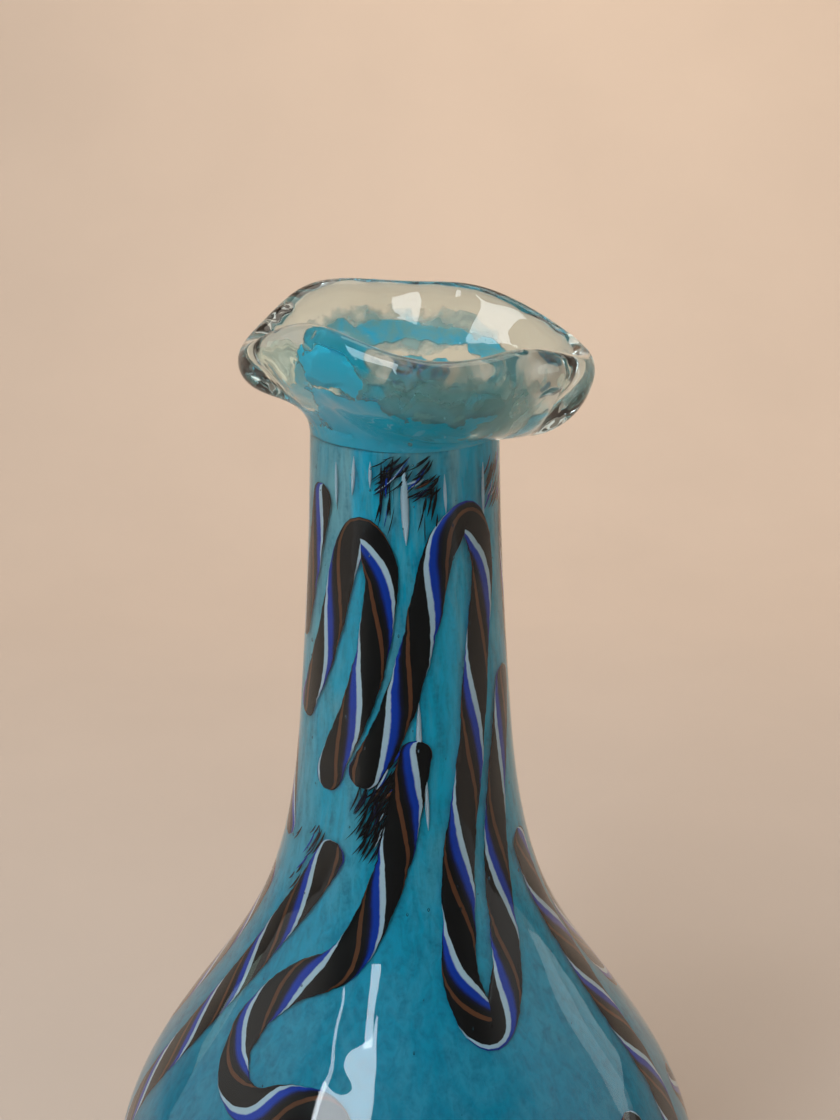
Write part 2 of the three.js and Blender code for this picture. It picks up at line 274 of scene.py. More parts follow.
# name, bearing and lift as seen from the aim, distance, width, height, radiance, colour, aim
LIGHTS = [
    ("window", -32, 44, 1.0, 0.47, 0.55, 10.0, DAY, VASE_MIDDLE),
    ("window_strip", -23, 23, 1.0, 0.08, 0.22, 10.0, DAY, VASE_MIDDLE),
    ("window_edge", -45, 25, 1.0, 0.03, 0.16, 8.0, DAY, VASE_MIDDLE),
    ("right_card", 111, 6, 0.6, 0.19, 0.15, 1.0, (0.9, 1.0, 0.97), VASE_MIDDLE),
    ("left_card", -118, 6, 0.6, 0.13, 0.13, 0.9, (0.75, 1.0, 0.85), VASE_MIDDLE),
    ("top", 150, 62, 1.2, 0.9, 0.7, 2.3, WARM, VASE_MIDDLE),
    ("backdrop", 0, 35, 0.35, 0.6, 0.2, 8.0, (1.0, 0.8, 0.6), BACKDROP),
]

SKY = (1.0, 0.93, 0.86)
AHEAD = (0, -0.97, 0.24)
# the sky is dark ahead: cosines of the angle off AHEAD where it starts to darken and where it is
# darkest, then its strength there and there
DARK_AHEAD = (0.3, 0.72, 0.7, 0.12)

# ------------------------------------------------------------------ what a user may change


def colour_setting(name, description, default):
    """A colour that a user may change."""
    return bpy.props.FloatVectorProperty(
        name=name, description=description, subtype="COLOR", size=3, min=0, max=1,
        default=default)


def width_setting(name, description, default, widest):
    """A width in metres that a user may change."""
    return bpy.props.FloatProperty(
        name=name, description=description, unit="LENGTH", subtype="DISTANCE", default=default,
        min=0.002, max=widest)


class VASE_PG_settings(bpy.types.PropertyGroup):
    turquoise: colour_setting("Turquoise", "Main colour of the inner glass", (0.0, 0.31, 0.49))
    drawn_turquoise: colour_setting(
        "Drawn turquoise", "Colour of the inner glass where it is drawn out thin", (0.004, 0.5, 0.74))
    pale_streak: colour_setting(
        "Pale streak", "Colour of the thin milky streaks in the turquoise", (0.26, 0.54, 0.6))
    white: colour_setting("White stripe", "White stripe of the twisted canes", (0.62, 0.74, 0.86))
    cobalt: colour_setting(
        "Cobalt stripe", "Bright blue stripe of the twisted canes", (0.001, 0.05, 0.48))
    navy: colour_setting(
        "Navy stripe", "Dark blue stripe of the twisted canes", (0.004, 0.006, 0.035))
    copper: colour_setting(
        "Copper stripe", "Copper brown stripe of the twisted canes", (0.17, 0.055, 0.022))
    black: colour_setting(
        "Black stripe", "Black stripe of the twisted canes", (0.003, 0.003, 0.004))
    # painted light: the lip's turquoise is shifted towards this colour on its front left, facing the
    # window lamp
    fringe: colour_setting("Fringe", "Brightest turquoise, in the lip", (0.03, 0.52, 0.76))
    veil: colour_setting(
        "Veil", "Thin grey-green film between the turquoise islands of the lip", (0.21, 0.44, 0.45))
    glass_tint: colour_setting(
        "Glass tint", "Colour that thick clear glass takes on", (0.82, 0.95, 0.925))
    neck_cane_width: width_setting(
        "Cane width, neck", "Width of a cane in the neck", NECK_CANE_WIDTH * MM, 0.008)
    bulb_cane_width: width_setting(
        "Cane width, bulb", "Width of a cane on the bulb", BULB_CANE_WIDTH * MM, 0.01)
    floor_colour: colour_setting("Floor", "Colour of the studio sweep", (0.485, 0.41, 0.352))


def settings():
    """The settings of the scene."""
    return bpy.context.scene.vase


# ------------------------------------------------------------------ curves and walls


def smooth_curve(points):
    """Returns a function from 0..1 to points on the smooth curve through the given ones."""
    knots = np.array(points, float)
    chord = np.linalg.norm(np.diff(knots, axis=0), axis=1)
    t = np.concatenate([[0.0], np.cumsum(chord)])
    count = len(t)
    matrix = np.zeros((count, count))
    bend = np.zeros_like(knots)
    matrix[0, 0] = matrix[-1, -1] = 1
    for i in range(1, count - 1):
        matrix[i, i - 1:i + 2] = chord[i - 1], 2 * (chord[i - 1] + chord[i]), chord[i]
        slope_after = (knots[i + 1] - knots[i]) / chord[i]
        slope_before = (knots[i] - knots[i - 1]) / chord[i - 1]
        bend[i] = 6 * (slope_after - slope_before)
    second = np.linalg.solve(matrix, bend)

    def at(share):
        s = np.clip(np.asarray(share, float), 0, 1) * t[-1]
        i = np.clip(np.searchsorted(t, s, side="right") - 1, 0, count - 2)
        h = chord[i][..., None]
        a = (t[i + 1] - s)[..., None]
        b = (s - t[i])[..., None]
        return ((second[i] * a ** 3 + second[i + 1] * b ** 3) / (6 * h)
                + (knots[i] / h - second[i] * h / 6) * a
                + (knots[i + 1] / h - second[i + 1] * h / 6) * b)

    return at


def evenly(curve, count, fine=4000):
    """Points on a curve at equal steps of its length."""
    dense = curve(np.linspace(0, 1, fine))
    length = np.concatenate([[0], np.cumsum(np.linalg.norm(np.diff(dense, axis=0), axis=1))])
    marks = np.linspace(0, length[-1], count)
    return np.stack([np.interp(marks, length, dense[:, k]) for k in range(dense.shape[1])], 1)


def outward(profile):
    """Unit normals of a profile that runs up the outside."""
    along = np.gradient(profile, axis=0)
    normal = np.stack([along[:, 1], -along[:, 0]], 1)
    return normal / np.linalg.norm(normal, axis=1)[:, None]


def smoothstep(x, low, high):
    """0 below low, 1 above high, and a smooth rise between."""
    share = np.clip((x - low) / (high - low), 0, 1)
    return share * share * (3 - 2 * share)


BOWL_SPAN = math.acos(BASE_RADIUS / BULB_RADIUS)
BOWL_DOWN = BULB_HEIGHT / math.sin(BOWL_SPAN)
BOWL = [(BULB_RADIUS * math.cos(a), BULB_HEIGHT - BOWL_DOWN * math.sin(a))
        for a in np.linspace(BOWL_SPAN, 0, BOWL_KNOTS)]

# the outside from the edge of the base to the neck's top, and its normals
WALL = evenly(smooth_curve(BOWL + SHOULDER + [ABOVE_NECK]), WALL_MARKS)
WALL_NORMAL = outward(WALL)
WALL_TOP = int(np.searchsorted(WALL[:, 1], NECK_TOP))


def wall_profile(depth, count):
    """Outline of the wall at a depth, from the floor's edge up to the neck's top."""
    floor = 0 if depth == 0 else BASE_EXTRA
    inset = WALL - depth * WALL_NORMAL
    lift = floor * (1 - smoothstep(WALL[:, 1], 0, BULB_HEIGHT))
    inset[:, 1] += lift
    inset = inset[:WALL_TOP + 1]
    inset[-1, 1] = NECK_TOP
    keep = inset[:, 1] <= NECK_TOP
    knots = inset[keep][::WALL_STRIDE].tolist() + [inset[-1].tolist()]
    return evenly(smooth_curve(knots), count)


def seat(angle, height, rise):
    """Positions on the wall at the canes' depth, raised towards the outside."""
    inset = WALL - CANE_DEPTH * WALL_NORMAL
    inset[:, 1] += BASE_EXTRA * (1 - smoothstep(WALL[:, 1], 0, BULB_HEIGHT))
    step = np.interp(height, inset[:, 1], np.arange(len(WALL)))
    marks = np.arange(len(WALL))
    r, z, nr, nz = (np.interp(step, marks, column)
                    for column in (inset[:, 0], inset[:, 1], WALL_NORMAL[:, 0], WALL_NORMAL[:, 1]))
    radius = r + rise * nr
    spot = np.stack([radius * np.sin(angle), -radius * np.cos(angle), z + rise * nz], -1)
    normal = np.stack([nr * np.sin(angle), -nr * np.cos(angle), nz + 0 * angle], -1)
    return spot, normal, r


def off_angle(degrees, middle):
    """How far an angle is from another, the short way round, in degrees."""
    return (degrees - middle + 180) % 360 - 180


def bump(degrees, middle, width):
    """Bump of height 1 round an angle."""
    return math.exp(-(off_angle(degrees, middle) / width) ** 2)


def lip_section(points, angle):
    """The lip's section at an angle. The rim waves up and down and in and out, the underside
    droops to the right, and the wall is pinched between the front and each side. Waves are sines
    of the angle with bumps on top, in millimetres."""
    sin, cos = math.sin, math.cos
    a, d = angle, math.degrees(angle)
    lift = (-0.7 - sin(a) - 0.2 * cos(a) - 0.7 * sin(2 * a) + 2.2 * cos(2 * a)
            - 0.3 * sin(3 * a) - 0.3 * cos(3 * a) - 0.5 * sin(4 * a) - 1.35 * cos(4 * a)
            + 0.8 * bump(d, -95, 30) + 1.7 * bump(d, -155, 28) + 0.8 * bump(d, 165, 30))
    reach = (1.4 * sin(a) + 0.4 * sin(2 * a) + 0.4 * cos(2 * a) - 0.7 * sin(3 * a)
             + 0.35 * cos(3 * a) + 0.9 * sin(4 * a) + 0.75 * cos(4 * a)
             + 0.8 * bump(d, -97, 22) + 0.5 * bump(d, 95, 22))
    droop = 0.3 + 2.4 * sin(a)
    pinch = 4 * bump(d, 78, 13) + 3.2 * bump(d, -68, 12)
    return [(r + wave * reach - nip * pinch, z + wave * lift - sag * droop)
            for r, z, wave, sag, nip in points]


def swept_ring(outlines):
    """Points and faces of a skin through outlines, one for each angle, joined right round."""
    steps, rows = outlines.shape[:2]
    angles = np.linspace(0, 2 * np.pi, steps, endpoint=False)[:, None]
    r, z = outlines[..., 0], outlines[..., 1]
    points = np.stack([r * np.sin(angles), -r * np.cos(angles), z], -1).reshape(-1, 3)
    faces = []
    for i in range(steps):
        for j in range(rows - 1):
            k, m = (i + 1) % steps, j + 1
            faces.append([i * rows + j, k * rows + j, k * rows + m, i * rows + m])
    return points, faces


# ------------------------------------------------------------------ mesh helpers


def new_piece(name, points, faces, material, replaces=(), uvs=None):
    """Makes a smooth mesh piece from points in millimetres, parents it to the root body's empty and
    hides the parts that it replaces.
    """
    mesh = bpy.data.meshes.new(name)
    mesh.from_pydata((np.asarray(points, float) * MM).tolist(), [], [list(f) for f in faces])
    if uvs is not None:
        layer = mesh.uv_layers.new(name="UVMap")
        corners = np.empty(len(mesh.loops), int)
        mesh.loops.foreach_get("vertex_index", corners)
        layer.data.foreach_set("uv", np.asarray(uvs, float)[corners].ravel())
    mesh.polygons.foreach_set("use_smooth", [True] * len(mesh.polygons))
    mesh.materials.append(material)
    mesh.validate()
    mesh.update()
    piece = bpy.data.objects.new(name, mesh)
    bpy.context.scene.collection.objects.link(piece)
    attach(piece, BODY)
    if replaces:
        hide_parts(*replaces)


def turned(outline, steps):
    """Turns an outline of (radius, height) about Z. Ends that lie on the axis are closed."""
    angles = np.linspace(0, 2 * np.pi, steps, endpoint=False)
    rows = []
    points = []
    for r, z in outline:
        if r < ON_AXIS:
            rows.append([len(points)] * steps)
            points.append((0.0, 0.0, z))
        else:
            rows.append(list(range(len(points), len(points) + steps)))
            points.extend(zip(r * np.sin(angles), -r * np.cos(angles), [z] * steps))
    faces = []
    for low, high in zip(rows, rows[1:]):
        for i in range(steps):
            j = (i + 1) % steps
            face = [low[i], low[j], high[j], high[i]]
            faces.append(list(dict.fromkeys(face)))
    return points, [f for f in faces if len(f) > 2]


def joined(parts):
    """Points and faces of several meshes as one mesh."""
    faces = []
    base = 0
    for points, part_faces in parts:
        faces += [[v + base for v in face] for face in part_faces]
        base += len(points)
    return np.vstack([points for points, _ in parts]), faces


# ------------------------------------------------------------------ node helpers


def node(tree, kind, links=None, **values):
    """Adds a node. links join other nodes' sockets to inputs; values set inputs or properties."""
    made = tree.nodes.new(kind)
    for key, value in values.items():
        name = key.replace("_", " ")
        if hasattr(made, key):
            setattr(made, key, value)
        elif name in made.inputs:
            made.inputs[name].default_value = value
    for key, source in (links or {}).items():
        tree.links.new(source, made.inputs[key])
    return made


def ramp(tree, source, stops):
    """Colours at positions along a value, blended evenly between them."""
    made = tree.nodes.new("ShaderNodeValToRGB")
    elements = made.color_ramp.elements
    while len(elements) < len(stops):
        elements.new(0.5)
    for element, (position, colour) in zip(elements, stops):
        element.position = position
        element.color = (*colour, 1)
    tree.links.new(source, made.inputs["Fac"])
    return made.outputs["Color"]


def new_group(name, inputs, outputs):
    """A shader node group with named sockets: (group, what it is given, what it puts out)."""
    group = bpy.data.node_groups.new(name, "ShaderNodeTree")
    for label, kind, default in inputs:
        socket = group.interface.new_socket(label, in_out="INPUT", socket_type=kind)
        if default is not None:
            socket.default_value = default
    for label, kind in outputs:
        group.interface.new_socket(label, in_out="OUTPUT", socket_type=kind)
    given = group.nodes.new("NodeGroupInput").outputs
    out = group.nodes.new("NodeGroupOutput").inputs
    return group, given, out


def drawn_streaks():
    """Noise pulled out along the vase's height, as colour is when a neck is drawn."""
    if "Drawn streaks" in bpy.data.node_groups:
        return bpy.data.node_groups["Drawn streaks"]
    group, given, out = new_group(
        "Drawn streaks",
        [("Scale", "NodeSocketFloat", 400.0), ("Pull", "NodeSocketFloat", 0.15),
         ("Low", "NodeSocketFloat", 0.45), ("High", "NodeSocketFloat", 0.65)],
        [("Mask", "NodeSocketFloat")])
    place = node(group, "ShaderNodeTexCoord").outputs["Object"]
    split = node(group, "ShaderNodeSeparateXYZ", {"Vector": place})
    pulled = node(group, "ShaderNodeMath", {0: split.outputs["Z"], 1: given["Pull"]},
                  operation="MULTIPLY")
    spot = node(group, "ShaderNodeCombineXYZ", {
        "X": split.outputs["X"], "Y": split.outputs["Y"], "Z": pulled.outputs[0]})
    cloud = node(group, "ShaderNodeTexNoise", {"Vector": spot.outputs[0], "Scale": given["Scale"]},
                 Detail=5.0, Roughness=0.6, Distortion=0.6)
    mask = node(group, "ShaderNodeMapRange", {
        "Value": cloud.outputs["Fac"], "From Min": given["Low"], "From Max": given["High"]})
    group.links.new(mask.outputs[0], out["Mask"])
    return group


def fire_polish():
    """Long soft waves left in the skin of fire-polished glass, as a height."""
    if "Fire polish" in bpy.data.node_groups:
        return bpy.data.node_groups["Fire polish"]
    group, given, out = new_group(
        "Fire polish", [("Scale", "NodeSocketFloat", 60.0)], [("Height", "NodeSocketFloat")])
    place = node(group, "ShaderNodeTexCoord").outputs["Object"]
    waves = node(group, "ShaderNodeTexNoise", {"Vector": place, "Scale": given["Scale"]},
                 Detail=1.0, Roughness=0.4)
    group.links.new(waves.outputs["Fac"], out["Height"])
    return group


def grouped(tree, group, **values):
    """Adds a node group with its values."""
    made = node(tree, "ShaderNodeGroup")
    made.node_tree = group
    for key, value in values.items():
        made.inputs[key].default_value = value
    return made


def new_material(name):
    """A material with a Principled shader: (material, node tree, shader)."""
    material = bpy.data.materials.new(name)
    material.use_nodes = True
    tree = material.node_tree
    return material, tree, tree.nodes["Principled BSDF"]


def found(name, maker):
    """The material of that name, made when it is first asked for."""
    return bpy.data.materials.get(name) or maker(name)


# ------------------------------------------------------------------ materials


def clear_glass(name, wave_scale=70.0, wave_height=0.0005, ior=1.5):
    """Fire-polished clear glass, faintly green where it is thick."""
    material, tree, shader = new_material(name)
    shader.inputs["Base Color"].default_value = (*settings().glass_tint, 1)
    shader.inputs["Roughness"].default_value = 0.0
    shader.inputs["IOR"].default_value = ior
    shader.inputs["Transmission Weight"].default_value = 1.0
    waves = grouped(tree, fire_polish(), Scale=wave_scale)
    ripple = node(tree, "ShaderNodeBump", {"Height": waves.outputs["Height"]},
                  Strength=1.0, Distance=wave_height)
    tree.links.new(ripple.outputs[0], shader.inputs["Normal"])
    return material


def tooled_glass(name):
    """Clear glass of the lip, left livelier than the rest where it was pulled and pinched."""
    return clear_glass(name, wave_scale=150.0, wave_height=0.0008, ior=1.4)


def turquoise_glass(name):
    """Opaque turquoise with darker veins, and milky streaks where the neck was drawn thin."""
    material, tree, shader = new_material(name)
    main = settings().turquoise
    thin = settings().drawn_turquoise
    pale = settings().pale_streak
    broad = grouped(tree, drawn_streaks(), Scale=150.0, Pull=0.16, Low=0.42, High=0.6)
    fine = grouped(tree, drawn_streaks(), Scale=700.0, Pull=0.2, Low=0.4, High=0.7)
    place = node(tree, "ShaderNodeTexCoord").outputs["Object"]
    height = node(tree, "ShaderNodeSeparateXYZ", {"Vector": place}).outputs["Z"]
    drawn = node(tree, "ShaderNodeMapRange", {"Value": height}, From_Min=0.09, From_Max=0.17,
                 To_Min=0.1, To_Max=0.9)
    milky = node(tree, "ShaderNodeMath", {0: broad.outputs[0], 1: drawn.outputs[0]},
                 operation="MULTIPLY")
    tall = node(tree, "ShaderNodeMapRange", {"Value": height}, From_Min=0.07, From_Max=0.115)
    body = node(tree, "ShaderNodeMix", {"Factor": tall.outputs[0]}, data_type="RGBA")
    body.inputs["A"].default_value = (*main, 1)
    body.inputs["B"].default_value = (*thin, 1)
    base = node(tree, "ShaderNodeMix", {"Factor": milky.outputs[0], "A": body.outputs["Result"]},
                data_type="RGBA")
    base.inputs["B"].default_value = (*pale, 1)
    grain = node(tree, "ShaderNodeTexNoise", {"Vector": place}, Scale=1500.0, Detail=3.0)
    veins = node(tree, "ShaderNodeMath", {0: fine.outputs[0], 1: grain.outputs["Fac"]},
                 operation="MULTIPLY")
    dark = node(tree, "ShaderNodeMix", {"Factor": veins.outputs[0], "A": base.outputs["Result"]},
                data_type="RGBA")
    dark.inputs["B"].default_value = (*(c * share for c, share in zip(main, VEIN_SHADE)), 1)
    tree.links.new(dark.outputs["Result"], shader.inputs["Base Color"])
    shader.inputs["Roughness"].default_value = 0.3
    shader.inputs["Specular IOR Level"].default_value = 0.1
    return material


def cane_glass(name):
    """Stripes of a twisted cane, wound along and round it by its own coordinates."""
    material, tree, shader = new_material(name)
    s = settings()
    around = node(tree, "ShaderNodeUVMap", uv_map="UVMap").outputs[0]
    split = node(tree, "ShaderNodeSeparateXYZ", {"Vector": around})
    wound = node(tree, "ShaderNodeMath", {0: split.outputs["X"], 1: split.outputs["Y"]},
                 operation="SUBTRACT")
    place = node(tree, "ShaderNodeTexCoord").outputs["Object"]
    drift = node(tree, "ShaderNodeTexNoise", {"Vector": place}, Scale=260.0, Detail=4.0,
                 Roughness=0.65)
    nudge = node(tree, "ShaderNodeMath", {0: drift.outputs["Fac"], 2: wound.outputs[0]},
                 operation="MULTIPLY_ADD")
    nudge.inputs[1].default_value = STRIPE_DRIFT
    turn = node(tree, "ShaderNodeMath", {0: nudge.outputs[0]}, operation="FRACT")
    stripes = ramp(tree, turn.outputs[0], [
        (0.0, s.white), (0.035, s.white), (0.065, s.cobalt), (0.17, s.cobalt), (0.25, s.navy),
        (0.32, s.black), (0.39, s.black), (0.4, s.copper), (0.475, s.copper),
        (0.485, s.black), (0.925, s.black), (0.94, s.white)])
    tree.links.new(stripes, shader.inputs["Base Color"])
    shader.inputs["Roughness"].default_value = 0.35
    shader.inputs["Specular IOR Level"].default_value = 0.1
    return material


def fringe_glass(name):
    """Turquoise drawn out so thin that it breaks up and lets light through, with painted light that
    turns it from veil to fringe colour on the side facing the window lamp.
    """
    material, tree, shader = new_material(name)
    s = settings()
    around = node(tree, "ShaderNodeUVMap", uv_map="UVMap").outputs[0]
    looks = node(tree, "ShaderNodeSeparateXYZ", {"Vector": around})
    density = looks.outputs["X"]
    # painted light: the second UV value shifts the colour from veil to fringe round the front left,
    # facing the window lamp
    painted_light_tone = node(tree, "ShaderNodeMix", {"Factor": looks.outputs["Y"]}, data_type="RGBA")
    painted_light_tone.inputs["A"].default_value = (*s.veil, 1)
    painted_light_tone.inputs["B"].default_value = (*s.fringe, 1)
    swirl = grouped(tree, drawn_streaks(), Scale=260.0, Pull=0.8, Low=0.4, High=0.7)
    base = node(tree, "ShaderNodeMix", {"Factor": swirl.outputs[0], "A": painted_light_tone.outputs["Result"]},
                data_type="RGBA")
    base.inputs["B"].default_value = (*s.drawn_turquoise, 1)
    solid = node(tree, "ShaderNodeMapRange", {"Value": density}, From_Min=0.5, From_Max=0.7)
    mixed = node(tree, "ShaderNodeMix", {"Factor": solid.outputs[0], "B": base.outputs["Result"]},
                 data_type="RGBA")
    mixed.inputs["A"].default_value = (*s.veil, 1)
    tree.links.new(mixed.outputs["Result"], shader.inputs["Base Color"])
    place = node(tree, "ShaderNodeTexCoord").outputs["Object"]
    ragged = node(tree, "ShaderNodeTexNoise", {"Vector": place}, Scale=420.0, Detail=4.0)
    thick = node(tree, "ShaderNodeMath", {0: density, 1: ragged.outputs["Fac"]}, operation="ADD")
    half = node(tree, "ShaderNodeMath", {0: thick.outputs[0]}, operation="MULTIPLY")
    half.inputs[1].default_value = 0.5
    see = ramp(tree, half.outputs[0], [
        (at, (level, level, level)) for at, level in ((0.24, 0), (0.42, 0.5), (0.56, 0.6), (0.62, 1))])
    tree.links.new(see, shader.inputs["Alpha"])
    shader.inputs["Roughness"].default_value = 0.3
    shader.inputs["Specular IOR Level"].default_value = 0.1
    return material


def ground_glass(name):
    """Ground and polished base: clear glass with a fine haze left by the wheel."""
    material, tree, shader = new_material(name)
    shader.inputs["Base Color"].default_value = (0.95, 1, 0.99, 1)
    shader.inputs["IOR"].default_value = 1.5
    shader.inputs["Transmission Weight"].default_value = 1.0
    place = node(tree, "ShaderNodeTexCoord").outputs["Object"]
    haze = node(tree, "ShaderNodeTexNoise", {"Vector": place}, Scale=900.0, Detail=3.0)
    rough = node(tree, "ShaderNodeMapRange", {"Value": haze.outputs["Fac"]})
    rough.inputs["To Min"].default_value = 0.08
    rough.inputs["To Max"].default_value = 0.3
    tree.links.new(rough.outputs[0], shader.inputs["Roughness"])
    return material


def sweep_paper(name):
    """Matt paper, faintly mottled."""
    material, tree, shader = new_material(name)
    colour = settings().floor_colour
    place = node(tree, "ShaderNodeTexCoord").outputs["Object"]
    mottle = node(tree, "ShaderNodeTexNoise", {"Vector": place}, Scale=14.0, Detail=4.0)
    tone = ramp(tree, mottle.outputs["Fac"], [
        (0.3, [SWEEP_MOTTLE * c for c in colour]), (0.7, colour)])
    tree.links.new(tone, shader.inputs["Base Color"])
    shader.inputs["Roughness"].default_value = 0.9
    return material


# ------------------------------------------------------------------ stage


def area_light(name, bearing, lift, distance, width, height, radiance, colour, aim):
    """A soft rectangular light, placed by its bearing and lift as seen from its aim."""
    light = bpy.data.lights.new(name, "AREA")
    light.shape = "RECTANGLE"
    light.size = width
    light.size_y = height
    light.energy = radiance * width * height * math.pi
    light.color = colour
    lamp = bpy.data.objects.new(name, light)
    around = math.radians(bearing)
    up = math.radians(lift)
    aim = Vector(aim)
    lamp.location = aim + distance * Vector((
        math.cos(up) * math.sin(around), -math.cos(up) * math.cos(around), math.sin(up)))
    lamp.rotation_euler = (aim - lamp.location).to_track_quat("-Z", "Y").to_euler()
    bpy.context.scene.collection.objects.link(lamp)


class VASE_OT_stage(bpy.types.Operator):
    """Camera, soft studio light and a pale sweep"""
    bl_idname = "vase.stage"
    bl_label = "Stage"

    def execute(self, context):
        scene = context.scene
        lens = bpy.data.cameras.new("camera")
        lens.sensor_fit = "VERTICAL"
        lens.sensor_height = SENSOR_HEIGHT
        lens.lens = LENS
        lens.clip_start = CLIP_START
        camera = bpy.data.objects.new("camera", lens)
        camera.location = EYE
        camera.rotation_euler = (math.radians(90 - LOOK_DOWN), 0, math.radians(LOOK_ASIDE))
        scene.collection.objects.link(camera)
        scene.camera = camera

        flat = SWEEP_BACK - SWEEP_BEND
        outline = [(SWEEP_FRONT, 0.0), (flat, 0.0)]
        outline += [(flat + SWEEP_BEND * math.sin(a), SWEEP_BEND - SWEEP_BEND * math.cos(a))
                    for a in np.linspace(0, math.pi / 2, SWEEP_BEND_STEPS)[1:]]
        outline += [(SWEEP_BACK, SWEEP_TOP)]
        points = [(side * SWEEP_HALF, y, z) for y, z in outline for side in (-1, 1)]
        faces = [(2 * i, 2 * i + 1, 2 * i + 3, 2 * i + 2) for i in range(len(outline) - 1)]
        mesh = bpy.data.meshes.new("sweep")
        mesh.from_pydata(points, [], faces)
        mesh.polygons.foreach_set("use_smooth", [True] * len(faces))
        mesh.materials.append(sweep_paper("Sweep paper"))
        sweep = bpy.data.objects.new("sweep", mesh)
        scene.collection.objects.link(sweep)

        for light in LIGHTS:
            area_light(*light)

        world = bpy.data.worlds.new("studio")
        scene.world = world
        world.use_nodes = True
        tree = world.node_tree
        way = node(tree, "ShaderNodeTexCoord").outputs["Generated"]
        ahead = node(tree, "ShaderNodeVectorMath", {0: way}, operation="DOT_PRODUCT")
        ahead.inputs[1].default_value = AHEAD
        glow = node(tree, "ShaderNodeMapRange", {"Value": ahead.outputs["Value"]},
                    interpolation_type="SMOOTHSTEP")
        for socket, value in zip(("From Min", "From Max", "To Min", "To Max"), DARK_AHEAD):
            glow.inputs[socket].default_value = value
        sky = tree.nodes["Background"]
        sky.inputs["Color"].default_value = (*SKY, 1)
        tree.links.new(glow.outputs[0], sky.inputs["Strength"])
        scene.view_settings.view_transform = "Standard"
        return {"FINISHED"}


# ------------------------------------------------------------------ gathers of glass


class VASE_OT_colour_layer(bpy.types.Operator):
    """Turquoise gather that lines the vase"""
    bl_idname = "vase.colour_layer"
    bl_label = "Inner colour layer"

    def execute(self, context):
        outside = wall_profile(COLOUR_DEPTH, COLOUR_OUTSIDE_ROWS)
        inside = wall_profile(COLOUR_INNER, INSIDE_ROWS)[::-1]
        outline = [(0, outside[0][1]), *outside, *inside, (0, inside[-1][1])]
        points, faces = turned(outline, COLOUR_STEPS)
        new_piece("inner_colour", points, faces, found("Turquoise glass", turquoise_glass),
                  ["inner_colour_layer"])
        return {"FINISHED"}


class VASE_OT_casing(bpy.types.Operator):
    """Clear gather over the canes"""
    bl_idname = "vase.casing"
    bl_label = "Clear casing"

    def execute(self, context):
        recess = PAD_RADIUS + RECESS_GAP
        roof = PAD_THICKNESS + RECESS_GAP
        outside = wall_profile(0, CASING_OUTSIDE_ROWS)
        # the recess of the pad, then the flat ring and the start of its rounded edge
        foot = [(0, roof), (recess - RECESS_BEVEL, roof), (recess, roof - RECESS_BEVEL),
                (recess, RECESS_BEVEL), (recess + RECESS_BEVEL, 0),
                (BASE_RADIUS - 1.2, 0), (BASE_RADIUS - 0.4, 0.08)]
        inside = wall_profile(CASING_INNER, INSIDE_ROWS)
        # open at the neck's top, where the lip goes on
        points, faces = joined([
            turned([*foot, *outside[1:]], ROUND_STEPS),
            turned([*inside[::-1], (0, inside[0][1])], ROUND_STEPS)])
        new_piece("casing", points, faces, found("Clear glass", clear_glass),
                  ["clear_casing"])
        return {"FINISHED"}


class VASE_OT_lip(bpy.types.Operator):
    """Thick clear lip, opened out and pinched into folds"""
    bl_idname = "vase.lip"
    bl_label = "Ruffled lip"

    def execute(self, context):
        angles = np.linspace(0, 2 * np.pi, LIP_STEPS, endpoint=False)
        outlines = np.array([
            evenly(smooth_curve(lip_section(LIP_OUTSIDE + LIP_INSIDE, a)), LIP_ROWS, LIP_SAMPLES)
            for a in angles])
        points, faces = swept_ring(outlines)
        new_piece("lip", points, faces, found("Tooled glass", tooled_glass),
                  ["ruffled_lip"])
        return {"FINISHED"}


def patchwork(patches, angle, share):
    """Height of soft round patches in the flare: above 0 inside them."""
    degrees = np.degrees(angle)
    height = np.full(len(angle), -1.0)
    for middle, up, round_by, up_by, weight in patches:
        far = np.hypot(off_angle(degrees, middle) / round_by, (share - up) / up_by)
        height = np.maximum(height, weight * (1 - far))
    return height


def ragged(angle, share, spread, climb, shift, fineness, octaves):
    """Fractal noise over the flare."""
    spots = [Vector((math.sin(a) * spread, math.cos(a) * spread, s * climb + shift))
             for a, s in zip(angle, share)]
    return np.array([noise.fractal(p * fineness, 0.9, 2.0, octaves) for p in spots])


def fringe_cover(angle, share):
    """How much turquoise there is in the flare: above 0 there is some."""
    edge = ragged(angle, share, spread=1, climb=1.1, shift=0, fineness=4.5, octaves=6)
    return patchwork(FRINGE_PATCHES, angle, share) + COVER_ROUGHNESS * edge


def fringe_veil(angle, share):
    """How milky the clear glass of the flare is, above 0."""
    edge = ragged(angle, share, spread=1.7, climb=1.5, shift=3, fineness=3.0, octaves=4)
    return patchwork(FRINGE_VEILS, angle, share) + VEIL_ROUGHNESS * edge


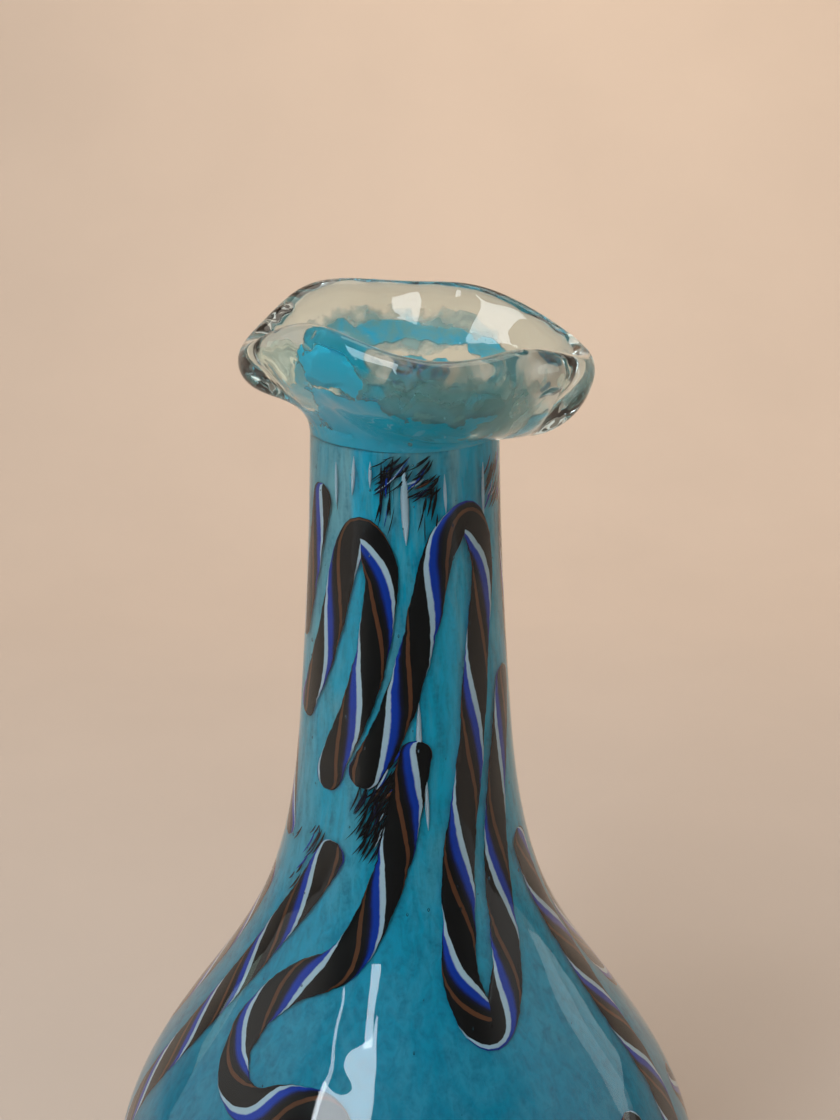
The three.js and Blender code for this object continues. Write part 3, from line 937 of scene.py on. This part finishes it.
class VASE_OT_fringe(bpy.types.Operator):
    """Ragged turquoise that runs out into the lip"""
    bl_idname = "vase.fringe"
    bl_label = "Colour fringe"

    def execute(self, context):
        shares = np.linspace(0, FRINGE_TOP, FRINGE_ROWS)
        angles = np.linspace(0, 2 * np.pi, FRINGE_STEPS, endpoint=False)
        grid_a, grid_s = np.meshgrid(angles, shares)
        shape = grid_a.shape
        solid = fringe_cover(grid_a.ravel(), grid_s.ravel()).reshape(shape)
        veil = fringe_veil(grid_a.ravel(), grid_s.ravel()).reshape(shape)
        cover = np.maximum(solid, veil)
        half = FRINGE_THICKNESS / 2 * smoothstep(cover, 0, FRINGE_EDGE)
        upper, lower = np.empty((*shape, 3)), np.empty((*shape, 3))
        for j, a in enumerate(angles):
            inner = evenly(smooth_curve(lip_section(LIP_INSIDE, a)), BORE_ROWS, LIP_SAMPLES)[::-1]
            normal = outward(inner)
            pick = np.round(shares * (len(inner) - 1)).astype(int)
            middle = inner[pick] + normal[pick] * FRINGE_DEPTH
            for skin, sign in ((upper, -1), (lower, 1)):
                r, z = (middle + sign * normal[pick] * half[:, j][:, None]).T
                skin[:, j] = np.stack([r * math.sin(a), -r * math.cos(a), z], 1)
        density = np.maximum(VEIL_DENSITY * np.clip(veil, 0, 1), smoothstep(solid, *SOLID_EDGE))
        # painted light: how far the lip's turquoise is painted lighter, round the front left that
        # faces the window lamp
        painted_light = np.exp(-(off_angle(np.degrees(grid_a), PAINTED_LIGHT_ANGLE) / PAINTED_LIGHT_SPREAD) ** 2)
        looks = np.stack([density, painted_light], -1)
        points, faces, uvs = clipped_sheet(upper, lower, cover, looks)
        new_piece("fringe", points, faces, found("Fringe glass", fringe_glass),
                  ["colour_fringe"], uvs)
        return {"FINISHED"}


def clipped_sheet(upper, lower, cover, looks):
    """Two skins of a grid that closes round, cut off and joined where cover falls below zero.
    Each spot's two looks, how dense it is and how much painted light it gets, become its UV
    coordinates."""
    rows, steps = cover.shape
    points = []
    uvs = []
    known = {}

    def corner(key, where, look):
        if key not in known:
            known[key] = len(points)
            points.append(where)
            uvs.append(look)
        return known[key]

    def cut(a, b):
        first, second = sorted((a, b))
        share = cover[first] / (cover[first] - cover[second])
        where = upper[first] + share * (upper[second] - upper[first])
        look = looks[first] + share * (looks[second] - looks[first])
        return corner(("cut", first, second), where, look)

    faces = []
    for i in range(rows - 1):
        for j in range(steps):
            k = (j + 1) % steps
            for tri in (((i, j), (i, k), (i + 1, k)), ((i, j), (i + 1, k), (i + 1, j))):
                inside = [cover[c] > 0 for c in tri]
                if not any(inside):
                    continue
                for skin, where in (("up", upper), ("down", lower)):
                    loop = []
                    for n in range(3):
                        a, b = tri[n], tri[(n + 1) % 3]
                        if cover[a] > 0:
                            loop.append(corner((skin, a), where[a], looks[a]))
                        if (cover[a] > 0) != (cover[b] > 0):
                            loop.append(cut(a, b))
                    faces.append(loop if skin == "down" else loop[::-1])
    # close the foot of the sheet
    for j in range(steps):
        k = (j + 1) % steps
        if cover[0, j] > 0 and cover[0, k] > 0:
            faces.append([known[("up", (0, j))], known[("up", (0, k))],
                          known[("down", (0, k))], known[("down", (0, j))]])
    return points, faces, uvs


class VASE_OT_punty_pad(bpy.types.Operator):
    """Ground and polished button in the middle of the base"""
    bl_idname = "vase.punty_pad"
    bl_label = "Punty pad"

    def execute(self, context):
        r, t = PAD_RADIUS, PAD_THICKNESS
        dish = [(x, PAD_DISH * math.cos(x / (r - PAD_RIM) * math.pi / 2) ** 2)
                for x in np.linspace(0, r - PAD_RIM, PAD_ROWS)]
        # rounded at the foot, bevelled at the top
        rim = [(r - 0.5, 0), (r - 0.15, 0.12), (r, 0.45), (r, t - 0.3), (r - 0.3, t), (0, t)]
        points, faces = turned(dish + rim, PAD_STEPS)
        new_piece("pad", points, faces, found("Ground glass", ground_glass),
                  ["punty_pad"])
        return {"FINISHED"}


# ------------------------------------------------------------------ canes


def cane_width(radius):
    """Width of a cane where the wall has a given radius, in millimetres."""
    share = smoothstep(radius, *WIDTH_RADII)
    s = settings()
    return (s.neck_cane_width + (s.bulb_cane_width - s.neck_cane_width) * share) / MM


def swept_rod(route, width_of, thickness, start, seed=0, pointed=False):
    """A flattened rod laid on the wall, with its points, faces and windings. A cane has round ends
    and its stripes wind; a pointed stroke has one tone, start, and no winding."""
    step, sides = (STROKE_STEP, STROKE_SIDES) if pointed else (CANE_STEP, CANE_SIDES)
    spots = [seat(np.radians(a), np.array(z, float), 0.0)[0] for a, z in route]
    curve = smooth_curve(spots)
    samples = curve(np.linspace(0, 1, ROUTE_SAMPLES))
    length = np.linalg.norm(np.diff(samples, axis=0), axis=1).sum()
    count = max(FEWEST_RINGS, int(length / step))
    centre = evenly(curve, count)
    forward = np.gradient(centre, axis=0)
    forward /= np.linalg.norm(forward, axis=1)[:, None]
    angle = np.arctan2(centre[:, 0], -centre[:, 1])
    _, normal, radius = seat(angle, centre[:, 2], 0.0)
    across = np.cross(forward, normal)
    across /= np.linalg.norm(across, axis=1)[:, None]
    run = np.linspace(0, length, count)
    half = np.array(width_of(radius)) / 2
    # each rod takes its own lines through the noise
    wander = np.array([noise.noise(Vector((s / WANDER_LENGTH, seed * 7.3, 0))) for s in run])
    fray = np.array([noise.noise(Vector((s / FRAY_LENGTH, seed * 3.1, 4))) for s in run])
    half = half * (1 + WANDER_SHARE * wander + FRAY_SHARE * fray)
    if pointed:
        taper = np.clip(np.sin(np.pi * run / length) ** POINT_POWER, SHARPEST, 1)
        winding = np.full(count, start)
    else:
        cap = np.clip(np.minimum(run, length - run) / half, 0, 1)
        taper = np.sqrt(np.clip(1 - (1 - cap) ** 2, BLUNTEST, 1))
        pitch = NECK_TWIST + (BULB_TWIST - NECK_TWIST) * smoothstep(radius, *TWIST_RADII)
        winding = np.concatenate([[0], np.cumsum(np.diff(run) / pitch[1:])]) + start
    points = []
    uvs = []
    for k in range(sides):
        turn = 2 * math.pi * k / sides
        shift = half * taper * math.cos(turn)
        rise = thickness / 2 * np.sqrt(taper) * math.sin(turn)
        spot = centre + across * shift[:, None]
        spot_angle = np.arctan2(spot[:, 0], -spot[:, 1])
        points.append(seat(spot_angle, spot[:, 2], rise)[0])
        uvs.append(np.stack([winding, np.full(count, 0 if pointed else k / sides)], 1))
    points = np.stack(points, 1).reshape(-1, 3)
    uvs = np.stack(uvs, 1).reshape(-1, 2)
    faces = []
    for i in range(count - 1):
        for k in range(sides):
            m = (k + 1) % sides
            faces.append([i * sides + k, (i + 1) * sides + k, (i + 1) * sides + m, i * sides + m])
    faces.append(list(range(sides)))
    faces.append(list(range((count - 1) * sides, count * sides))[::-1])
    return points, faces, uvs


class VASE_OT_canes(bpy.types.Operator):
    """Twisted canes laid on the turquoise"""
    bl_idname = "vase.canes"
    bl_label = "Twisted canes"

    def execute(self, context):
        material = found("Cane glass", cane_glass)
        for i, (start, route) in enumerate(CANES):
            points, faces, uvs = swept_rod(route, cane_width, CANE_THICKNESS, start, seed=i)
            new_piece(f"twisted_cane_{i + 1:02d}", points, faces, material,
                      [f"cane_{i + 1:02d}"], STRIPE_SETS * uvs)
        return {"FINISHED"}


def stroke(a, z, reach, tilt, width, tone, thickness):
    """A thin pointed stroke about an angle and height, leaning to the right as it goes up."""
    radius = float(seat(np.radians(a), np.array(z), 0.0)[2])
    swing = math.degrees(reach / 2 * math.sin(tilt) / radius)
    rise = min(reach / 2 * math.cos(tilt), NECK_TOP - TOP_MARGIN - z)
    route = [(a + swing * bow, z + up) for bow, up in zip(STROKE_BOW, (-rise, 0, rise))]
    return swept_rod(route, lambda r: np.full(np.shape(r), width), thickness, tone, pointed=True)


class VASE_OT_wisps(bpy.types.Operator):
    """Fine combed strokes where the canes were dragged through the turquoise"""
    bl_idname = "vase.wisps"
    bl_label = "Combed wisps"

    def execute(self, context):
        rng = np.random.default_rng(WISP_DRAWS)
        strokes = []
        for angle, height, round_by, up_by, count, lean, longest in WISPS:
            for _ in range(count):
                a = angle + rng.uniform(-1, 1) * round_by
                z = height + rng.uniform(-1, 1) * up_by
                tilt = math.radians(lean + rng.normal(0, WISP_SCATTER))
                tone = rng.choice(WISP_TONES, p=WISP_SHARES)
                reach = rng.uniform(SHORTEST_WISP, 1) * longest
                width = rng.uniform(*WISP_WIDTHS)
                strokes.append(stroke(a, z, reach, tilt, width, tone, WISP_THICKNESS))
        for a, z, reach, width in SLIVERS:
            tilt = rng.normal(0, SLIVER_SCATTER)
            strokes.append(stroke(a, z, reach, tilt, width, SLIVER_TONE, SLIVER_THICKNESS))
        points, faces = joined([(points, faces) for points, faces, _ in strokes])
        uvs = np.vstack([uvs for _, _, uvs in strokes])
        new_piece("combed_wisps", points, faces, found("Cane glass", cane_glass),
                  uvs=uvs)
        return {"FINISHED"}


class VASE_OT_seeds(bpy.types.Operator):
    """Tiny bubbles of air caught in the clear glass"""
    bl_idname = "vase.seeds"
    bl_label = "Seeds"

    def execute(self, context):
        rng = np.random.default_rng(SEED_DRAWS)
        balls = []
        for _ in range(SEED_COUNT):
            angle = rng.uniform(0, 2 * math.pi)
            height = SEED_HEIGHT + SEED_REACH * rng.uniform(0, 1) ** SEED_CROWDING
            centre = seat(np.float64(angle), np.float64(height), rng.uniform(*SEED_RISES))[0]
            size = rng.uniform(*SEED_SIZES)
            ball, faces = turned([(size * math.sin(t), size * math.cos(t))
                                  for t in np.linspace(0, math.pi, SEED_RINGS)], SEED_SIDES)
            stretch = np.array([1, 1, rng.uniform(*SEED_STRETCH)])
            balls.append((np.array(ball) * stretch + centre, faces))
        points, faces = joined(balls)
        new_piece("seeds", points, faces, found("Clear glass", clear_glass))
        return {"FINISHED"}


# ------------------------------------------------------------------ panel and running


OPERATORS = [
    VASE_OT_stage, VASE_OT_colour_layer, VASE_OT_canes, VASE_OT_wisps, VASE_OT_casing,
    VASE_OT_lip, VASE_OT_fringe, VASE_OT_punty_pad, VASE_OT_seeds,
]


class VASE_PT_panel(bpy.types.Panel):
    """Everything that the vase is built from, in order"""
    bl_label = "Cased cane vase"
    bl_idname = "VASE_PT_panel"
    bl_space_type = "VIEW_3D"
    bl_region_type = "UI"
    bl_category = "Vase"

    def draw(self, context):
        for operator in OPERATORS:
            self.layout.operator(operator.bl_idname)
        for name in VASE_PG_settings.__annotations__:
            self.layout.prop(context.scene.vase, name)


CLASSES = [VASE_PG_settings, *OPERATORS, VASE_PT_panel]


def register():
    for cls in CLASSES:
        bpy.utils.register_class(cls)
    bpy.types.Scene.vase = bpy.props.PointerProperty(type=VASE_PG_settings)


def unregister():
    del bpy.types.Scene.vase
    for cls in reversed(CLASSES):
        bpy.utils.unregister_class(cls)


def main():
    register()
    for operator in OPERATORS:
        group, name = operator.bl_idname.split(".")
        getattr(getattr(bpy.ops, group), name)()
    bpy.context.view_layer.update()
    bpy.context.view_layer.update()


if __name__ == "__main__":
    main()
